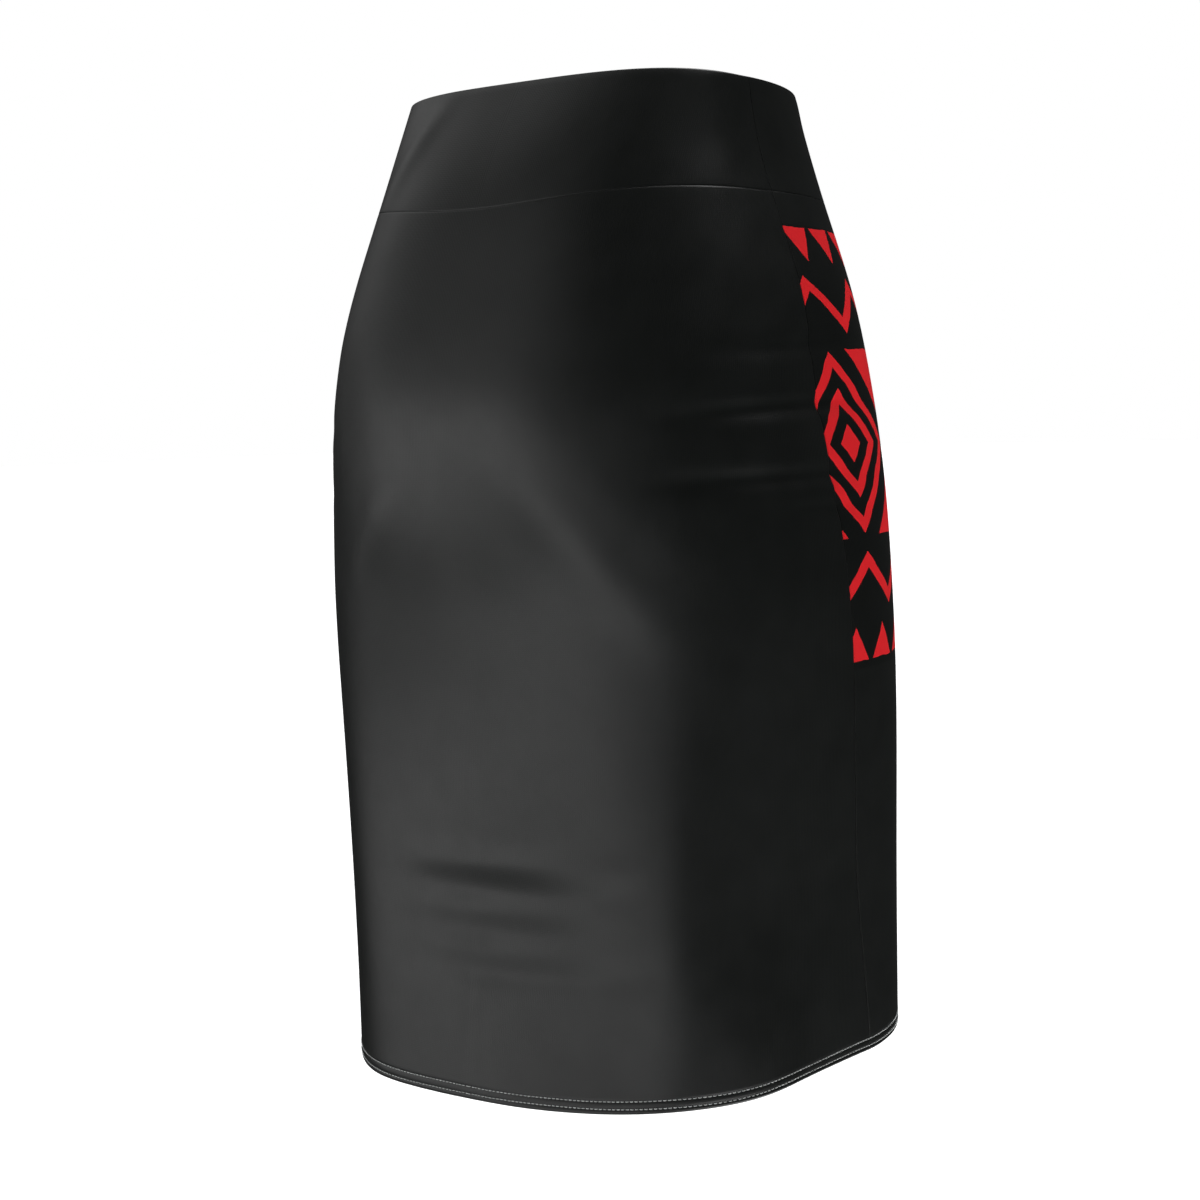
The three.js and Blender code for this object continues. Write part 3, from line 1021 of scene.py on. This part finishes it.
@dataclass
class SeamAllowance(ABC):
    """The joined edges of two pieces inside a seam, laid flat and overlocked."""

    form: SkirtForm
    wall: Wall
    name: str
    width: float = 7.0
    layers: float = 1.6  # two layers of the knit, pressed
    lift: float = 0.05  # how far it lies off the panel
    step: float = 4.0
    stitch_pitch: float = 2.6
    thread: float = 0.2  # half its thickness
    thread_corners: int = 5
    # Across the allowance: distances from the seam, and the share of its thickness that is left there
    section: tuple[tuple[float, float], ...] = ((0.4, 1), (3, 1), (5.8, 1), (6.7, 0.85), (7.0, 0.4))
    # An overlock stitch's path: distance across, and distance past the allowance's inner face
    loop: tuple[tuple[float, float], ...] = ((1.6, 0.1), (4.4, 0.22), (6.9, 0.1), (7.3, -0.7), (6.9, -1.35))

    @abstractmethod
    def run(self) -> float:
        """Give the length of the seam."""

    @abstractmethod
    def place(self, along: np.ndarray, across: np.ndarray) -> tuple[Half, np.ndarray, np.ndarray]:
        """Turn distances along and across the allowance into a half, drops and shares of its girth."""

    @abstractmethod
    def grid(self, along: np.ndarray, across: np.ndarray) -> tuple[np.ndarray, np.ndarray]:
        """Give along and across as grids whose rows run down the cloth and columns round it."""

    def build(self, cloth: bpy.types.Material, thread: bpy.types.Material) -> list[bpy.types.Object]:
        """Build the folded edge and its overlocking.

        Args:
            cloth: the material of the allowance, which shows the reverse of the knit.
            thread: the overlocking's material.

        Returns:
            The two pieces.
        """
        across, left = np.array(self.section).T
        along = np.linspace(0, self.run(), round(self.run() / self.step))
        long_way, short_way = self.grid(along, across)
        thickness = self.layers * np.interp(short_way, across, left)
        half, drops, shares = self.place(long_way, short_way)
        touching = self.wall.cloth + self.lift
        outer = self.form.cloth_points(half, drops, shares, touching)
        inner = self.form.cloth_points(half, drops, shares, touching + thickness)
        cloth_map = np.stack([(shares - 0.5) * self.form.half_girth(half, drops), drops], -1) * MM
        mesh = wall_mesh(self.name, outer, inner, cloth_map, np.zeros(len(drops) - 1))
        edge = make_object(self.name, mesh, "black_knit", cloth)

        count = round(self.run() / self.stitch_pitch)
        across, past = np.array(self.loop).T
        along = (np.arange(count)[:, None] + 0.5 + 0.5 * across / self.width) * self.run() / (count + 1)
        half, drops, shares = self.place(along, np.broadcast_to(across, along.shape))
        paths = self.form.cloth_points(half, drops, shares, touching + self.layers + past)
        sides = -self.form.face_normals(half, drops, shares)
        name = f"{self.name}_overlock"
        mesh = thread_mesh(name, paths, sides, self.thread * MM, self.thread_corners)
        stitches = make_object(name, mesh, "black_thread", thread)
        return [edge, stitches]


@dataclass
class SideAllowance(SeamAllowance):
    """The allowance of a side seam, pressed towards the back."""

    wearer_right: bool = False
    below_band: float = 8.5
    above_hem: float = 0.8

    def run(self) -> float:
        """Give its length from under the waistband to the turned-up hem."""
        top = self.form.band_depth + self.below_band
        return self.form.length - self.wall.hem_depth - self.above_hem - top

    def place(self, along: np.ndarray, across: np.ndarray) -> tuple[Half, np.ndarray, np.ndarray]:
        """Place it in the back half, beside one of its seams."""
        drops = self.form.band_depth + self.below_band + along
        shares = across / self.form.half_girth(Half.BACK, drops)
        return Half.BACK, drops, 1 - shares if self.wearer_right else shares

    def grid(self, along: np.ndarray, across: np.ndarray) -> tuple[np.ndarray, np.ndarray]:
        """Lay its length down the rows, and its width across them with the girth."""
        return np.meshgrid(along, across[::-1] if self.wearer_right else across, indexing="ij")


@dataclass
class BandAllowance(SeamAllowance):
    """The allowance of the waistband's seam, turned down inside a panel."""

    half: Half = Half.BACK

    def run(self) -> float:
        """Give its length from side seam to side seam."""
        return float(self.form.half_girth(self.half, self.form.band_depth))

    def place(self, along: np.ndarray, across: np.ndarray) -> tuple[Half, np.ndarray, np.ndarray]:
        """Place it just under the waistband's seam."""
        return self.half, self.form.band_depth + across, along / self.run()

    def grid(self, along: np.ndarray, across: np.ndarray) -> tuple[np.ndarray, np.ndarray]:
        """Lay its width down the rows, and its length round them."""
        return tuple(part.T for part in np.meshgrid(along, across, indexing="ij"))


@dataclass
class Skirt:
    """The whole skirt: its cut pieces and its sewing."""

    form: SkirtForm
    finishes: Finishes
    wall: Wall = field(default_factory=Wall)
    # Where each stretch of rows ends, and the step between its rows: smaller where the cloth is folded
    stretches: tuple[tuple[float, float], ...] = (
        (140, 3.6),
        (270, 2.6),
        (430, 3.6),
        (520, 2.6),
        (560, 3.6),
    )
    band_step: float = 3.6
    seam_allowance: float = 7.0
    # How many rows each kind of piece is measured at
    band_samples: int = 50
    panel_samples: int = 200
    # The cloth is cut this much narrower than it is worn, and stretches to fit.
    stretch: float = 0.94

    def declare(self, piece: bpy.types.Object, half: Half, rows: np.ndarray, **facts: object) -> None:
        """Work out the width a piece was cut to at each row, without keeping it.

        Args:
            piece: the piece, which is not used.
            half: the half of the girth that it covers.
            rows: drops at even steps, from its upper cut edge to its lower one.
            **facts: what it rests on, and the pieces that belong to it, which are not used.
        """
        widths = self.form.half_girth(half, rows) * self.stretch * MM

    def build(self) -> None:
        """Build the pieces and the sewing, and work out the width each piece was cut to."""
        form, wall, finishes = self.form, self.wall, self.finishes
        seam, gap = form.band_depth, wall.seam_gap / 2
        panel = wall.panel_ribs(seam + gap, form.length, self.stretches)
        band = wall.band_ribs(seam - gap, self.band_step)
        band_rows = np.linspace(0, seam + self.seam_allowance, self.band_samples)
        bottom = form.length + wall.hem_depth
        panel_rows = np.linspace(seam - self.seam_allowance, bottom, self.panel_samples)

        hem = HemStitching(form, wall).build(finishes.grey_thread)
        sewn = {half: [] for half in Half}
        sewn[Half.BACK] += hem
        for side in (False, True):
            name = f"side_allowance_{'right' if side else 'left'}"
            allowance = SideAllowance(form, wall, name, wearer_right=side)
            sewn[Half.BACK] += allowance.build(finishes.reverse, finishes.black_thread)
        for half in Half:
            name = half.name.lower()
            allowance = BandAllowance(form, wall, f"band_allowance_{name}", half=half)
            sewn[half] += allowance.build(finishes.reverse, finishes.black_thread)
            waistband = ClothPiece(form, wall, f"waistband_{name}", half, band)
            waistband = waistband.build(finishes.knit, finishes.knit)
            self.declare(waistband, half, band_rows)
            printed = half is Half.FRONT
            slot = "printed_knit" if printed else "black_knit"
            face = finishes.printed if printed else finishes.knit
            cloth = ClothPiece(form, wall, f"{name}_panel", half, panel, slot).build(face, finishes.reverse)
            self.declare(cloth, half, panel_rows, rests_on=[waistband], with_pieces=sewn[half])


@dataclass(frozen=True)
class SoftPanel:
    """A softbox far away: where it stands on the sky in degrees, and how bright it is."""

    centre: float
    half_width: float
    low: float
    high: float
    soft: float
    strength: float

    def shine(
        self, tree: bpy.types.NodeTree, azimuth: bpy.types.Node, elevation: bpy.types.Node
    ) -> bpy.types.Node:
        """Draw the panel with soft edges.

        Args:
            tree: the world's nodes.
            azimuth: the node that gives the direction's azimuth, from the front towards the wearer's left.
            elevation: the node that gives its elevation.

        Returns:
            A node whose first output is the panel's light.
        """
        plugs = {0: azimuth, 1: math.radians(self.centre)}
        off = add_node(tree, "ShaderNodeMath", plugs, operation="SUBTRACT")
        turned = add_node(tree, "ShaderNodeMath", {0: off, 1: math.pi, 2: -math.pi}, operation="WRAP")
        aside = add_node(tree, "ShaderNodeMath", {0: turned}, operation="ABSOLUTE")
        light: Plug = self.strength
        edges = ((aside, self.half_width, 1), (elevation, self.high, 1), (elevation, self.low, -1))
        for source, edge, way in edges:
            outside, inside = (math.radians(edge + way * side * self.soft) for side in (1, -1))
            plugs = {0: source, 1: outside, 2: inside, 4: 1.0}
            share = add_node(tree, "ShaderNodeMapRange", plugs, interpolation_type="SMOOTHSTEP")
            light = add_node(tree, "ShaderNodeMath", {0: share, 1: light}, operation="MULTIPLY")
        return light


PANELS = (
    # A large one behind the skirt and low, which gives its lit side an even, soft sheen
    SoftPanel(centre=170, half_width=15, low=-60, high=0, soft=10, strength=1.7),
    SoftPanel(centre=145, half_width=10, low=-60, high=40, soft=20, strength=1.1),
    # Strips beside it, which mark the rim
    SoftPanel(centre=130, half_width=25, low=-2, high=2, soft=14, strength=5.4),
    SoftPanel(centre=90, half_width=15, low=15, high=60, soft=20, strength=1.1),
    SoftPanel(centre=200, half_width=15, low=-30, high=-15, soft=5, strength=3),
    # One overhead and one below the front, which light the print from outside the camera's reflections
    SoftPanel(centre=345, half_width=65, low=53, high=90, soft=3, strength=7),
    SoftPanel(centre=290, half_width=70, low=-60, high=-42, soft=3, strength=7),
)


@dataclass(frozen=True)
class Studio:
    """A white room: a pale floor, soft panels of light, and the camera."""

    floor_drop: float = 1.04
    floor_reach: float = 40.0
    floor_colour: str = "#c8c8c8"
    floor_glow: float = 0.75
    fill: float = 0.02
    panels: tuple[SoftPanel, ...] = PANELS
    # The camera's turns, in degrees: from straight behind to the wearer's right, downwards, and over
    camera_turns: tuple[float, float, float] = (40.05, 4.476, 1.498)
    # Where it stands, in millimetres: what it faces, its distance from that, and how far it is shifted
    camera_target: tuple[float, float, float] = (0, 15, -184.7)
    camera_distance: float = 1472.3
    camera_shift: float = -9.76
    lens: float = 72.92
    sensor: float = 36.0

    def build(self) -> None:
        """Build the floor, the light and the camera."""
        self.build_floor()
        self.build_light()
        self.build_camera()

    def build_floor(self) -> None:
        """Lay a pale floor as far below the waist as the wearer's feet would be."""
        reach = self.floor_reach
        outline = ((-reach, -reach), (reach, -reach), (reach, reach), (-reach, reach))
        corners = [(x, y, -self.floor_drop) for x, y in outline]
        mesh = bpy.data.meshes.new("floor")
        mesh.from_pydata(corners, [], [(0, 1, 2, 3)])
        floor = bpy.data.objects.new("floor", mesh)
        bpy.context.scene.collection.objects.link(floor)
        material = bpy.data.materials.new("white_floor")
        tree = empty_tree(material)
        shader = add_node(
            tree,
            "ShaderNodeBsdfPrincipled",
            {
                "Base Color": linear(self.floor_colour),
                "Roughness": 0.9,
                "Specular IOR Level": 0.0,
                "Emission Color": linear("#ffffff"),
                "Emission Strength": self.floor_glow,
            },
        )
        add_node(tree, "ShaderNodeOutputMaterial", {"Surface": shader})
        mesh.materials.append(material)
        floor.visible_diffuse = floor.visible_glossy = floor.visible_shadow = False

    def build_light(self) -> None:
        """Light the room with the panels over a dim fill, before a white backdrop."""
        world = bpy.data.worlds.new("soft_studio")
        bpy.context.scene.world = world
        tree = empty_tree(world)
        where = add_node(tree, "ShaderNodeTexCoord")
        split = add_node(tree, "ShaderNodeSeparateXYZ", {0: where.outputs["Generated"]})
        front = add_node(tree, "ShaderNodeMath", {0: split.outputs[1], 1: -1.0}, operation="MULTIPLY")
        azimuth = add_node(tree, "ShaderNodeMath", {0: split.outputs[0], 1: front}, operation="ARCTAN2")
        elevation = add_node(tree, "ShaderNodeMath", {0: split.outputs[2]}, operation="ARCSINE")
        total: Plug = self.fill
        for panel in self.panels:
            lit = panel.shine(tree, azimuth, elevation)
            total = add_node(tree, "ShaderNodeMath", {0: lit, 1: total}, operation="ADD")
        light = add_node(tree, "ShaderNodeBackground", {"Strength": total})
        white = add_node(tree, "ShaderNodeBackground", {"Strength": 1.0})
        for background in (light, white):
            background.inputs["Color"].default_value = (1, 1, 1, 1)
        seen = add_node(tree, "ShaderNodeLightPath").outputs["Is Camera Ray"]
        mixed = add_node(tree, "ShaderNodeMixShader", {0: seen, 1: light, 2: white})
        add_node(tree, "ShaderNodeOutputWorld", {"Surface": mixed})

    def build_camera(self) -> None:
        """Set the camera at the photograph's angle: behind the wearer's right side, a little raised."""
        azimuth, pitch, roll = (math.radians(turn) for turn in self.camera_turns)
        right = Vector((-math.cos(azimuth), -math.sin(azimuth), 0))
        back = Vector((-math.sin(azimuth), math.cos(azimuth), 0))
        up = Vector((0, 0, 1))
        forward = -back * math.cos(pitch) - up * math.sin(pitch)
        top = right.cross(forward)
        place = self.camera_shift * right + self.camera_distance * back + Vector(self.camera_target)
        turned_right = right * math.cos(roll) - top * math.sin(roll)
        turned_top = right * math.sin(roll) + top * math.cos(roll)
        data = bpy.data.cameras.new("camera")
        data.sensor_width = self.sensor
        data.lens = self.lens
        camera = bpy.data.objects.new("camera", data)
        axes = Matrix((turned_right, turned_top, -forward)).transposed()
        camera.matrix_world = Matrix.Translation(place * MM) @ axes.to_4x4()
        bpy.context.scene.collection.objects.link(camera)
        bpy.context.scene.camera = camera


def main() -> None:
    """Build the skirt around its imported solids, then the room that it is seen in."""
    logging.basicConfig(level=logging.INFO, format="%(name)s: %(message)s")
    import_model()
    bpy.context.scene.view_settings.view_transform = "Standard"
    Studio().build()
    Skirt(SkirtForm(), Finishes()).build()


if __name__ == "__main__":
    main()
